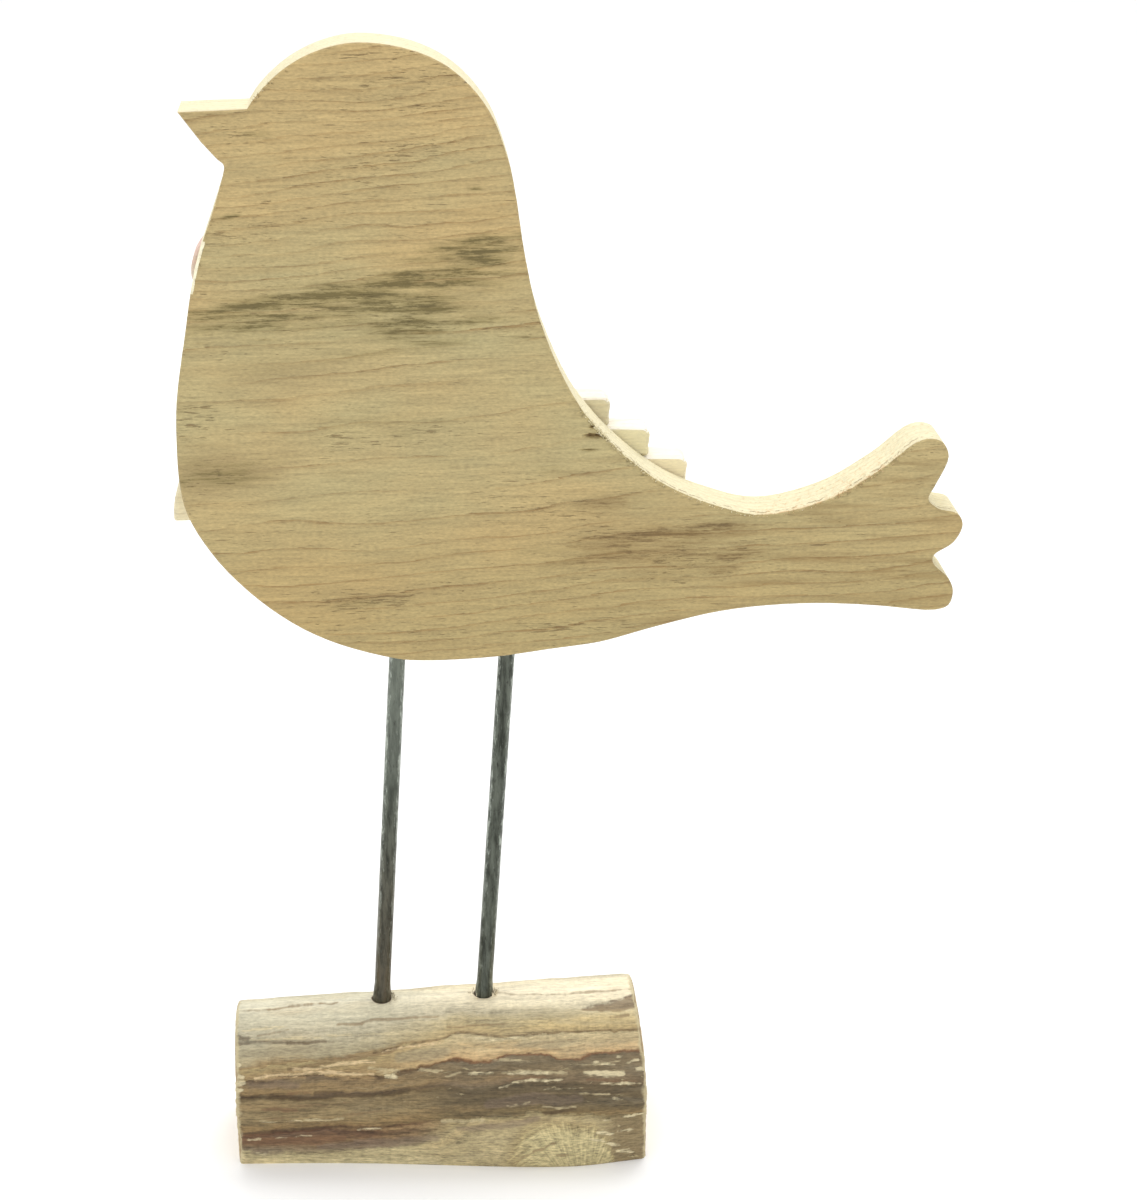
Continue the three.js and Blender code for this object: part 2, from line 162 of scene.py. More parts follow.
# What marks the log's skin on its plain side: a colour and its strength, how proud it stands, and its
# streaks, each with half its width and the places along it as x and lift.
MARKS = {
    "tan": ((158, 147, 118), 0.5, 0, [
        (1.7, (-11, 17.9), (-3, 18.6), (1.6, 18.6)), (1.5, (14, 28.3), (26, 28.2), (36, 27.4)),
        (1.2, (-52, 20.2), (-40, 20.6), (-26, 20.4)), (1.2, (22, 20.6), (29, 19.7), (36, 20.6)),
        (0.6, (30, 25.6), (42, 25), (53, 25.2)),
    ]),
    "mauve": ((114, 98, 84), 0.55, 0, [
        (1.1, (-23, -4.2), (-14, -3.9), (-1.8, -3.8)), (1.2, (-50, 12.4), (-43.6, 12.3), (-37.8, 11.4)),
        (0.8, (-50.2, -5.6), (-42.8, -5.9)), (0.8, (-33, -4.9), (-21, -4.5)),
        (1.6, (12, 4.8), (22, 5.8), (36, 5.4)), (0.9, (4, -1.2), (14, -1.2), (25, 0.4)),
        ((0.3, 2), (38, 28.5), (45.4, 29.2), (49.5, 29.9), (54.5, 30.9)),
    ]),
    "gold": ((208, 176, 124), 0.5, 0.1, [
        (0.5, (-18.8, 18.5), (-14.1, 19.4), (-10, 20), (-5.2, 21.1), (0.7, 21.7)),
        (0.35, (-29, 0.2), (-19, -0.6), (-1.4, -0.4)), (0.6, (-30, 13.6), (-23.6, 13.2), (-17.8, 12.7)),
        (0.4, (-48.5, 13.4), (-42, 13.8), (-36, 13.5)), (0.5, (5, 20.6), (12, 20.2), (20, 20.6)),
    ]),
    "rust": ((118, 86, 60), 0.6, 0, [
        (1, (-53, -2.8), (-44, -3), (-35, -3.3), (-26, -2.7)),
        # This thin line under the gold layer's lower border is in part painted reddish shadow of that layer's
        # edge.
        (0.22, (3.2, 16.8), (8.4, 15.7), (13, 15.8), (17.1, 17.3), (26.3, 17.3), (32, 15.7), (36.6, 15.5),
         (40.1, 16.5), (45.9, 17.1), (53, 17.1)),
        (0.3, (38.2, 10.4), (46.9, 9.8), (52, 9.3)),
        (0.25, (15, 9.8), (18.5, 10.7), (23.7, 11.4), (31, 11.2)), (0.3, (-41, 9.4), (-34, 9.6)),
        (0.3, (38.6, 28.8), (44.4, 30.3), (48.6, 31.3), (53.2, 32.3)),
        (0.25, (-52, 23.7), (-44, 23.3), (-34, 23.2)), (0.6, (-47, 6), (-42.6, 5.8), (-38, 5.4)),
    ]),
    "brown": ((122, 100, 70), 0.8, -0.15, [
        (0.3, (-52.7, 31.5), (-47.6, 31.5), (-40, 32.1), (-34.6, 32.4), (-26.9, 32.8)),
        (0.25, (-48, 24.7), (-43.4, 25.6), (-39.9, 25.9)),
        (0.4, (-26.9, 26.9), (-21, 27.1), (-17.5, 28.1), (-10.4, 28.1), (-0.3, 28.4)),
        (0.7, (-40, 15.8), (-30, 17.2), (-23.5, 18.2), (-17.6, 18.9), (-11.7, 20.1)),
        (0.28, (15, 33.8), (20.9, 33.3), (28.6, 32.8), (36.9, 33), (45.1, 33.4), (52.6, 33.9)),
        (0.3, (42, 37.6), (52, 40.5)), ((0.4, 2.1), (37.5, 28.4), (45.4, 29.1), (49.5, 29.7), (54.5, 30.6)),
        (0.2, (12, 20), (20, 19.4), (28, 20.4), (36, 20.9)), (0.2, (24, 18.6), (32, 18.2), (38, 19.2)),
        (0.4, (45, 26.4), (50, 26.7)), (0.3, (-46, 3.6), (-40, 3.5)),
        (0.3, (-40, 6.6), (-30, 6.4), (-24, 6.6)), (0.35, (-26, 3.6), (-14, 4.2)),
        (0.3, (2, 25.2), (10, 25.5), (18, 25.6)), (0.25, (18, -11.2), (23, -8.2), (31, -5)),
        (0.3, (20, -9.4), (25, -7.2)), (0.4, (30, -9), (33.5, -9.3)),
    ]),
    "dark": ((78, 60, 40), 0.75, -0.3, [
        (0.6, (-54, 24.5), (-50, 24.2)), (0.5, (-54, 23.3), (-46, 22.9)),
        (0.4, (-50, 23.1), (-40.5, 22.8), (-34.6, 22.7), (-28, 22.8)),
        (0.25, (38.6, 28.9), (44.4, 30.4), (48.6, 31.4), (53.6, 32.6)),
        (0.25, (-17.6, 19.3), (-11.7, 20.5), (-7, 21.4), (0.7, 22.3), (3.4, 23.4), (6.3, 23.8),
         (11.5, 23), (17.2, 22.3), (23, 22.6), (27.7, 23)),
        (0.22, (28, 23), (35.8, 22.9), (46.2, 23.1), (53, 23.1)), (0.7, (-33, 9.4), (-26, 9.2)),
        (0.4, (-52.6, 9.1), (-43.7, 8.8), (-37.9, 8.1), (-30.8, 8.3), (-26.1, 8.7), (-17.9, 8.5),
         (-8.5, 9.1)),
        (0.45, (-53, -0.5), (-47, -0.3), (-38.2, 0), (-29.3, 0.5), (-19.3, -0.4), (-11, 0.1)),
        (0.3, (-24, -1.3), (-16.5, -1.9), (-1.5, -1.7)), (0.4, (26, 2), (35, 2.6)),
        (0.3, (-50, 12.9), (-44, 12.8)),
    ]),
    "fawn": ((198, 183, 144), 0.7, 0.1, [
        (0.35, (-29.4, 24.1), (-17.5, 24.1), (-8.1, 24.6), (-4.5, 25.1)),
        (0.3, (-51.5, 23.9), (-39.4, 23.6), (-31.5, 23.8)), (0.4, (-19, 15.2), (-10.8, 14.4)),
        (0.3, (-17, 14), (-12, 13.8)), (0.5, (0, 0.8), (10.7, 0.7)), (0.4, (-6, 14.2), (0, 14.3)),
        (0.35, (1.2, 12.6), (5.5, 13.3)), (0.45, (16, 13.1), (23.3, 12.8), (33, 12.3)),
        (0.25, (13, 16.7), (17, 16.2), (23.9, 15.5)), (0.25, (26.2, 3.8), (34.9, 3.2)),
        (0.25, (17, 4), (23, 4.8)), (0.3, (-52, 26.5), (-40, 26.7)),
        (0.25, (4, 25.9), (12, 26.2), (20, 26.2)), (0.3, (-36, 2.9), (-26, 2.6)),
        (0.25, (34, 14.6), (41, 14.2), (47, 14.8)), (0.25, (36, 6.4), (44, 6.8)),
        (0.22, (27, 8.3), (37, 8)),
    ]),
    "cream": ((224, 198, 154), 0.8, 0.25, [
        (0.45, (-39.4, 16.2), (-33, 15.8), (-28.9, 16.1), (-24.7, 16.8), (-20, 17.2), (-17.4, 16.7)),
        (0.5, (-48.8, 13.9), (-43.5, 14.5), (-38.3, 14.3), (-34.7, 14.7), (-29.5, 14.6), (-23.6, 13.9),
         (-17.8, 13.5)),
        (0.3, (-15, 19.6), (-8, 20.6), (0, 21.6)),
    ]),
    "pale": ((224, 210, 170), 0.9, 0.22, [
        (0.15, (-47.8, 2.6), (-43, 2.4)), (0.15, (-41, 2.5), (-36.8, 2.3)),
        (0.18, (-51.3, -2.2), (-48, -2.2)), (0.15, (-44, -2.1), (-41, -2.1)),
        (0.18, (-39, -2), (-34.7, -2)), (0.2, (-22.2, -0.6), (-16.2, -0.7)),
        (0.25, (-49.6, -5.9), (-46.5, -6)), (0.25, (6.3, 23), (11.5, 22.2), (17, 21.6), (24, 21.9)),
        (0.65, (-14.5, 13.1), (-11.9, 13)), (0.42, (7.1, 12.5), (10, 13.2), (13.5, 13)),
        (0.33, (15.1, 9.1), (18.5, 10.1), (23.7, 10.8), (31.8, 10.6)),
        (0.35, (17.5, 12.7), (24.4, 12.6), (28, 12.4)), (0.78, (37.7, 12.1), (42.2, 11.9), (47.8, 11.6)),
        (0.5, (51.5, 12.3), (53.5, 12.3)), (0.28, (41.8, 9.4), (46.7, 9), (52.5, 8.6)),
        (0.3, (44.7, 5.4), (46.8, 5.2)), (0.45, (40.6, -3.7), (44.9, -4.1)),
        (0.3, (38.6, -5.3), (42.4, -5.7)), (0.4, (42.4, -5.9), (46.8, -7.2)), (0.4, (46, -9), (50.4, -9)),
        (0.25, (45.9, -3.3), (50.2, -3)), (0.3, (42, -0.2), (44.3, -0.3)),
        (0.3, (39.7, 14.2), (41.3, 14.9)), (0.35, (42.3, 14.3), (45.7, 14.1)),
        (0.35, (48.4, 14), (51.8, 14.9)), (0.25, (46.3, 16), (47.9, 16.2)), (0.3, (47.5, 0.6), (53, 1.1)),
        (0.6, (-53.9, 17.8), (-52.8, 17.6)), (0.8, (-53.9, 14.7), (-51.9, 14.3)),
        (0.8, (-53.9, 12.8), (-51.6, 12.9)), (0.7, (-53.9, 10.8), (-52.2, 10.9)),
        (0.5, (-53.9, 9.1), (-52.8, 9.2)),
    ]),
}
# How far a streak's border is blurred.
MARK_BLUR = 1.4
# How far back the marks reach over the log.
MARKED_TO = 8
# The knot: the line along its top, the place that its fibres fan out from, and how softly it begins.
KNOT_TOP = [
    (10, -9), (18, -1.2), (22, 0.9), (28, 1.6), (34, 1.6), (39.6, 0.3), (43.6, -3.3), (45.3, -8),
    (45.6, -14),
]
KNOT_HEART = (37.0, -12.0)
KNOT_BLUR = 6.0

# The log's colours from its crest down, on the beak's side and on the tail's: where, counted in layers.
# The top layer pales towards the crest: the log's own grey weathering, and a painted highlight from the light
# above.
LAYER_TONES = {
    "beak": [
        (0, 214, 208, 184), (0.25, 202, 195, 168), (0.5, 184, 175, 148), (0.9, 164, 152, 120),
        (0.98, 130, 110, 76), (1.02, 168, 150, 108), (1.3, 162, 142, 100), (1.75, 162, 138, 98),
        # The dark tones at 2 are in part painted shadow under the gold layer's edge.
        (1.93, 172, 150, 108), (2, 92, 72, 48), (2.25, 128, 108, 76), (2.7, 148, 124, 84),
        (2.93, 96, 76, 50), (3.03, 104, 86, 56), (3.12, 130, 112, 78), (3.6, 138, 120, 84),
        (3.93, 124, 102, 66), (4.03, 92, 62, 40), (4.3, 104, 76, 52), (4.6, 124, 98, 70),
        (4.93, 130, 114, 88), (5.04, 174, 160, 120), (5.5, 200, 187, 146), (6, 214, 202, 164),
    ],
    "tail": [
        (0, 240, 228, 198), (0.25, 230, 218, 186), (0.42, 206, 194, 162), (0.6, 190, 174, 134),
        (0.8, 198, 176, 126), (0.96, 178, 156, 112), (0.99, 148, 126, 88), (1.04, 198, 181, 140),
        # The dark tones at 1.99 are in part painted shadow under the gold layer's edge.
        (1.5, 190, 169, 128), (1.9, 198, 168, 122), (1.99, 120, 84, 54), (2.06, 112, 98, 74),
        (2.5, 124, 108, 80), (2.95, 120, 102, 76), (3.05, 96, 82, 58), (3.6, 102, 88, 62),
        (3.93, 116, 99, 66), (4.1, 144, 126, 88), (4.5, 162, 146, 106), (5, 172, 156, 116),
        (6, 182, 167, 126),
    ],
}

# The rods: where each one's middle line is at the log and at the board, and the lowest and highest points.
RODS = {"leg_front": (-15.2, -8.8), "leg_rear": (12.0, 18.9)}
LOG_LEVEL, BOARD_LEVEL = 38.5, 136.0
ROD_ENDS = (18.0, 160.0)
ROD_RADIUS = 2.1
# How much thicker a rod is at its foot, and how far up that reaches.
FOOT_SWELL = 0.12
FOOT_HEIGHT = 5.5

# The laths' tail ends: the upper corner's radius, how far it reaches, and how far each end droops.
LATH_ROUNDING = 2.4
LATH_REACH = 0.6
LATH_DROOP = {"wing_lath_upper": 0.0, "wing_lath_middle": 0.45, "wing_lath_lower": 0.3}
LATH_DROOP_FROM = 9.0
LATH_STEP = {"x": 1.5, "z": 0.9, "y": 1.2}
LATH_ARRIS = 1.1

# The camera: where it stands in millimetres, which way it looks, and its lens.
CAMERA_PLACE = (-8.6, -610.1, 389.9)
CAMERA_LOOKS = (0.0661, 0.9295, -0.3627)
LENS = 78.0
# The softboxes, which face the figure's middle: where, in metres, how wide and how strong.
FIGURE_MIDDLE = (0.03, 0.0, 0.15)
SOFTBOXES = {"top_softbox": ((0.15, 0.55, 1.25), 1.0, 8.0), "front_fill": ((-0.7, -1.2, 0.9), 0.8, 1.5)}


def srgb(*levels):
    """A colour given as it looks on screen, from 0 to 255."""
    return (*(((v / 255 + 0.055) / 1.055) ** 2.4 if v > 10 else v / 255 / 12.92 for v in levels), 1.0)


def arithmetic(operation, reflected=False):
    """A method that adds a Math node."""
    def method(self, *others):
        values = (*others, self) if reflected else (self, *others)
        return self.finish.node("Math", {"operation": operation}, values)
    return method


class Signal:
    """What comes out of a node: a number, a place or a colour."""

    def __init__(self, finish, socket):
        self.finish = finish
        self.socket = socket

    __add__ = __radd__ = arithmetic("ADD")
    __sub__ = arithmetic("SUBTRACT")
    __rsub__ = arithmetic("SUBTRACT", reflected=True)
    __mul__ = __rmul__ = arithmetic("MULTIPLY")
    __truediv__ = arithmetic("DIVIDE")
    __pow__ = arithmetic("POWER")
    __abs__ = arithmetic("ABSOLUTE")
    fraction = arithmetic("FRACT")
    largest = arithmetic("MAXIMUM")

    def rise(self, start, end):
        """0 up to start, 1 from end on, and smooth between. It falls where start is the larger."""
        limits = {0: self, 1: start, 2: end, 3: 0.0, 4: 1.0}
        return self.finish.node("MapRange", {"interpolation_type": "SMOOTHSTEP"}, limits)

    def stretch(self, *by):
        factors = by * 3 if len(by) == 1 else by
        return self.finish.node("VectorMath", {"operation": "MULTIPLY"}, (self, factors))

    def split(self):
        """A place's x, y and z."""
        parts = self.finish.node("SeparateXYZ", values=(self,)).socket.node
        return [Signal(self.finish, part) for part in parts.outputs]

    def noise(self, *scales, detail=2.0, roughness=0.5):
        """Cloudy noise about a place, around 0 and about -1 to 1, with scales in turns a millimetre."""
        values = {"Vector": self.stretch(*scales), "Scale": 1.0, "Detail": detail, "Roughness": roughness}
        return (self.finish.node("TexNoise", {}, values) - 0.5) * 3.0

    def tint(self, amount, *levels):
        """This colour with as much of another one, which is given as it looks on screen."""
        return self.finish.mix(amount, self, srgb(*levels))


class Finish:
    """A material in the making."""

    def __init__(self, name, roughness=0.7, **shader):
        self.material = bpy.data.materials.new(name)
        self.material.use_nodes = True
        self.tree = self.material.node_tree
        self.tree.nodes.clear()
        output = self.tree.nodes.new("ShaderNodeOutputMaterial")
        self.shader = self.tree.nodes.new("ShaderNodeBsdfPrincipled")
        self.tree.links.new(self.shader.outputs[0], output.inputs["Surface"])
        self.feed(Roughness=roughness, **shader)

    def node(self, kind, settings=None, values=(), output=0):
        """Adds a node, with its settings first, and gives back one of its outputs."""
        made = self.tree.nodes.new("ShaderNode" + kind)
        settings = dict(settings or {})
        stops = settings.pop("stops", None)
        points = settings.pop("points", None)
        for name, value in settings.items():
            setattr(made, name, value)
        if stops:
            elements = made.color_ramp.elements
            while len(elements) < len(stops):
                elements.new(1.0)
            for element, (position, colour) in zip(elements, stops):
                element.position = position
                element.color = colour
        if points:
            curve = made.mapping.curves[0]
            while len(curve.points) < len(points):
                curve.points.new(1.0, 1.0)
            for point, location in zip(curve.points, points):
                point.location = location
                point.handle_type = "VECTOR"
            made.mapping.update()
        for key, value in values.items() if isinstance(values, dict) else enumerate(values):
            self.connect(made.inputs[key], value)
        return Signal(self, made.outputs[output])

    def connect(self, socket, value):
        if isinstance(value, Signal):
            self.tree.links.new(value.socket, socket)
        else:
            socket.default_value = value

    def feed(self, **inputs):
        """Sets or links the shader's inputs, such as Base_Color."""
        for name, value in inputs.items():
            self.connect(self.shader.inputs[name.replace("_", " ")], value)

    def place(self):
        """Where a point of the piece is, in millimetres."""
        return self.node("TexCoord", output="Object").stretch(1 / MM)

    def attribute(self, name):
        return self.node("Attribute", {"attribute_name": name}, output="Fac")

    def mix(self, amount, first, second, blend="MIX"):
        settings = {"data_type": "RGBA", "blend_type": blend}
        return self.node("Mix", settings, {0: amount, 6: first, 7: second}, output=2)

    def shade(self, colour, amount):
        """A colour made lighter or darker: amount is 0 for no change and -1 for black."""
        grey = self.node("CombineColor", {}, [amount + 1.0] * 3)
        return self.mix(1.0, colour, grey, "MULTIPLY")

    def ramp(self, position, *stops):
        return self.node("ValToRGB", {"stops": stops}, (position,))

    def curve(self, value, points):
        return self.node("FloatCurve", {"points": points}, (1.0, value))

    def done(self, colour, relief, depth, **inputs):
        """The material, with its colour, its relief, whose depth is in millimetres, and other inputs."""
        bump = self.node("Bump", {}, {"Distance": depth * MM, "Height": relief})
        self.feed(Base_Color=colour, Normal=bump, **inputs)
        return self.material


# Wood

def ring_chart():
    """The ring spacings as two curves over height from 0 to 1: rings counted, and rings to a millimetre."""
    low, high = RING_SPACING[0][0], RING_SPACING[-1][0]
    counts = [0]
    for (z0, gap0), (z1, gap1) in zip(RING_SPACING, RING_SPACING[1:]):
        counts.append(counts[-1] + (z1 - z0) * 2 / (gap0 + gap1))
    shares = [(z - low) / (high - low) for z, _ in RING_SPACING]
    counted = [(share, count / counts[-1]) for share, count in zip(shares, counts)]
    pace = [(share, 1 / gap) for share, (_, gap) in zip(shares, RING_SPACING)]
    return low, high, counts[-1], counted, pace


def ring_lines(finish, place):
    """How far a place of the board lies below the next growth ring, in millimetres."""
    x, y, z = place.split()
    drift = place.noise(0.012, 0.008, 0.024, detail=1)
    ripple = place.noise(0.04, 0.02, 0.13)
    frayed = place.noise(0.12, 0.8, 2.2, roughness=0.6)
    low, high, count, counted, pace = ring_chart()
    share = (z - x * 0.055 + drift * 4 + ripple * 1.1 + frayed * 0.45 - low) / (high - low)
    age = finish.curve(share, counted) * count + y * 0.22
    return (1 - age.fraction()) / finish.curve(share, pace)


def grain(place, below, strength=1):
    """How much darker or lighter the grain makes pale wood, with its rings, pores and fibres."""
    faded = place.noise(0.022, 0.1, 0.2, detail=3).rise(-0.5, 0.6)
    broken = place.noise(0.25, 0.8, 1.4, detail=3, roughness=0.7).rise(-0.5, 0.4)
    line = below.rise(0.65, 0.05) * faded * (broken * 0.8 + 0.2)
    glow = below.rise(2.8, 0.1) ** 2 * faded
    pores = place.noise(0.13, 0.8, 2, roughness=0.6).rise(0.42, 0.72)
    clusters = place.noise(0.03, 0.1, 0.14).rise(-0.35, 0.5)
    dashes = place.noise(0.3, 1.2, 2.8, roughness=0.6).rise(0.36, 0.66)
    dashes = dashes * place.noise(0.035, 0.1, 0.2).rise(-0.2, 0.5)
    pores = (pores * clusters).largest(dashes * 0.85)
    fibres = place.noise(0.1, 1, 1.5, detail=4, roughness=0.62)
    speckle = place.noise(0.8, 1.2, 2.2, roughness=0.6)
    clouds = place.noise(0.016, 0.06, 0.1, detail=3)
    dark = pores * 0.2 + line * 0.05 + glow * 0.05
    light = clouds * 0.06 + fibres * 0.26 + speckle * 0.24
    return (light - dark) * strength, line + glow * 0.35, pores, fibres


def board_face():
    """The board's two flat faces: flat-sawn pale wood with brown rings, dark pores and grey-olive stains."""
    finish = Finish("flat sawn wood", roughness=0.62)
    place = finish.place()
    below = ring_lines(finish, place)
    change, rings, pores, fibres = grain(place, below)
    x, _, z = place.split()
    warmth = (place.noise(0.018, 0.05, 0.05, detail=3) + z.rise(236, 266) * 0.6).rise(-0.8, 0.8)
    wood = finish.mix(warmth, srgb(173, 161, 115), srgb(187, 162, 110))
    wood = wood.tint(z.rise(196, 150) * 0.5, 168, 144, 90)
    patchy = place.noise(0.045, 0.3, 1, detail=3).rise(-0.8, 0.5)
    close_rings = z.rise(186, 170).largest(z.rise(234, 250) * 0.7) * below.rise(0.6, 0.05) * patchy
    wood = wood.tint((rings * 0.6).largest(close_rings * 0.66), 142, 108, 58)
    wood = wood.tint(pores * 0.62, 106, 80, 40)
    nicks = place.noise(0.2, 0.9, 2.5, detail=3, roughness=0.66)
    pits = (nicks + finish.attribute("pitted") * 0.62).rise(0.56, 0.86)
    wood = wood.tint(pits * 0.6, 104, 76, 38)
    wood = finish.shade(wood, change)
    browned = finish.attribute("browned") * (place.noise(0.06, 0.3, 0.5, detail=3) * 0.4 + 1)
    wood = wood.tint(browned * 0.42, 134, 112, 74)
    stain = finish.attribute("stain")
    streaks = place.noise(0.075, 0.3, 0.75, detail=5, roughness=0.68)
    haze = (stain * (streaks * 1.3 + 1)).rise(0.04, 0.75)
    to_tail = x.rise(18, 42)
    wood = finish.mix(haze * 0.55, wood, finish.mix(to_tail, srgb(124, 111, 64), srgb(136, 112, 68)))
    hairs = place.noise(0.1, 0.6, 1.9, detail=4, roughness=0.72)
    mottled = place.noise(0.4, 0.8, 1.1, detail=3, roughness=0.7)
    core = (stain * (streaks * 1.5 + hairs * 1.4 + mottled * 0.8 + 1)).rise(0.4, 1.15)
    dark = finish.mix(to_tail, srgb(88, 76, 34), srgb(100, 76, 40))
    wood = finish.mix(core * 0.76, wood, finish.shade(dark, fibres * 0.5))
    tail = x.rise(20, 90)
    bands = place.noise(0.028, 0.15, 0.26, detail=4, roughness=0.6)
    wood = wood.tint((bands + tail * 0.25).rise(0.1, 1) * (tail * 0.25 + 0.35), 138, 112, 64)
    sunk = finish.attribute("sunk").rise(0.12, 0.9)
    wood = finish.mix(sunk * 0.9, wood, finish.shade(srgb(112, 88, 50), fibres * 0.6))
    relief = fibres * 0.5 - rings * 0.6 - pores.largest(pits) * 1.2
    return finish.done(wood, relief, 0.08, Roughness=0.6 + haze * 0.1)


def board_edge():
    """The board's sawn edge: cream, with fine lines along it, pores and a jagged line near the plain face."""
    finish = Finish("sawn edge", roughness=0.8)
    place = finish.place()
    x, y, z = place.split()
    change, _, _, fibres = grain(place, ring_lines(finish, place), 0.5)
    wander = place.noise(0.05, detail=3)
    lines = abs((y * 0.42 + wander * 0.35).fraction() - 0.5).rise(0.14, 0)
    specks = place.noise(0.9, detail=3, roughness=0.6).rise(0.2, 0.8)
    torn = place.noise(0.5, 0.1, 0.5, detail=4, roughness=0.7)
    gaps = place.noise(0.6, 0.3, 0.6).rise(-0.3, 0.2)
    jag = abs(y + 5.2 + torn * 1).rise(0.4, 0.1) * gaps * x.rise(28, 50)
    ripped = y.rise(-6, -6.9) * x.rise(78, 88) * x.rise(119, 112) * (torn + 0.6)
    fuzz = place.noise(0.7, 0.5, 0.7, detail=4, roughness=0.75).rise(0, 0.6)
    fuzz = fuzz * x.rise(70, 86) * x.rise(122, 114) * y.rise(6.5, 0)
    sawn = place.noise(0.35, 0.5, 0.35, detail=4, roughness=0.7)
    # On the breast's near edge the sawn edge is painted paler: a painted highlight along the arris.
    breast_edge_highlight = x.rise(-43, -46) * z.rise(234, 238) * z.rise(250, 245)
    wood = finish.mix(breast_edge_highlight, srgb(225, 216, 181), srgb(250, 243, 212))
    wood = finish.shade(wood, change + sawn * 0.05)
    wood = wood.tint(lines * 0.3, 198, 174, 116)
    wood = wood.tint(specks * (x.rise(72, 88) * 0.3 + 0.4), 206, 178, 124)
    wood = wood.tint(ripped.largest(fuzz * 0.65), 206, 166, 116)
    wood = wood.tint(jag * 0.6, 146, 112, 66)
    rim = abs(y).rise(6.5, 7.2) * x.rise(-45, -42)
    rim = rim * place.noise(0.12, 0.2, 0.12, detail=3).rise(-0.6, 0.9)
    beak = z.rise(270, 274) * z.rise(284, 280) * x.rise(-34, -38) * y.rise(-6.3, -7)
    wood = wood.tint(rim * 0.5 + beak * 0.6, 150, 118, 70)
    relief = fibres * 0.4 - specks * 0.8 - jag * 1.5 - lines * 0.3
    return finish.done(wood, relief, 0.15)


def pink_wash(wood, place):
    """Wood with what is left of a pinkish wash, thickest towards the top."""
    patches = place.noise(0.25, 0.25, 0.5, detail=4, roughness=0.65)
    wash = ((place.split()[2] - 236) * 0.12 + patches * 0.8).rise(-0.6, 0.9)
    return wood.tint(wash * 0.65, 224, 182, 170)


def lath_wood(name, pale, warm, shift=(0, 0, 0), wash=None):
    """Bare wood of the glued pieces, with the grain along them, darker towards the breast."""
    finish = Finish(name, roughness=0.72)
    unshifted = finish.place()
    darker_to_breast = unshifted.split()[0].rise(10, -50)
    place = finish.node("VectorMath", {"operation": "ADD"}, (unshifted, shift))
    _, y, z = place.split()
    ripple = place.noise(0.03, 0.1, 0.12)
    below = (1 - ((z + y * 0.4 + ripple * 2) * 0.3).fraction()) / 0.3
    change, rings, pores, fibres = grain(place, below, 0.42)
    warmth = place.noise(0.03, 0.1, 0.12).rise(-0.8, 0.8)
    wood = finish.mix(warmth, srgb(*pale), srgb(*warm)).tint(rings * 0.25 + pores * 0.15, 186, 154, 108)
    # The wood is made darker towards the breast.
    wood = finish.shade(wood, change - darker_to_breast * 0.16)
    if wash:
        wood = wash(wood, unshifted)
    return finish.done(wood, fibres * 0.4 - rings * 0.4 - pores, 0.08)


def layer_ramp(finish, layer, side):
    """The colours of the log's layers on the beak's or the tail's side."""
    tones = LAYER_TONES[side]
    last = tones[-1][0]
    return finish.ramp(layer / last, *[(at / last, srgb(*levels)) for at, *levels in tones])


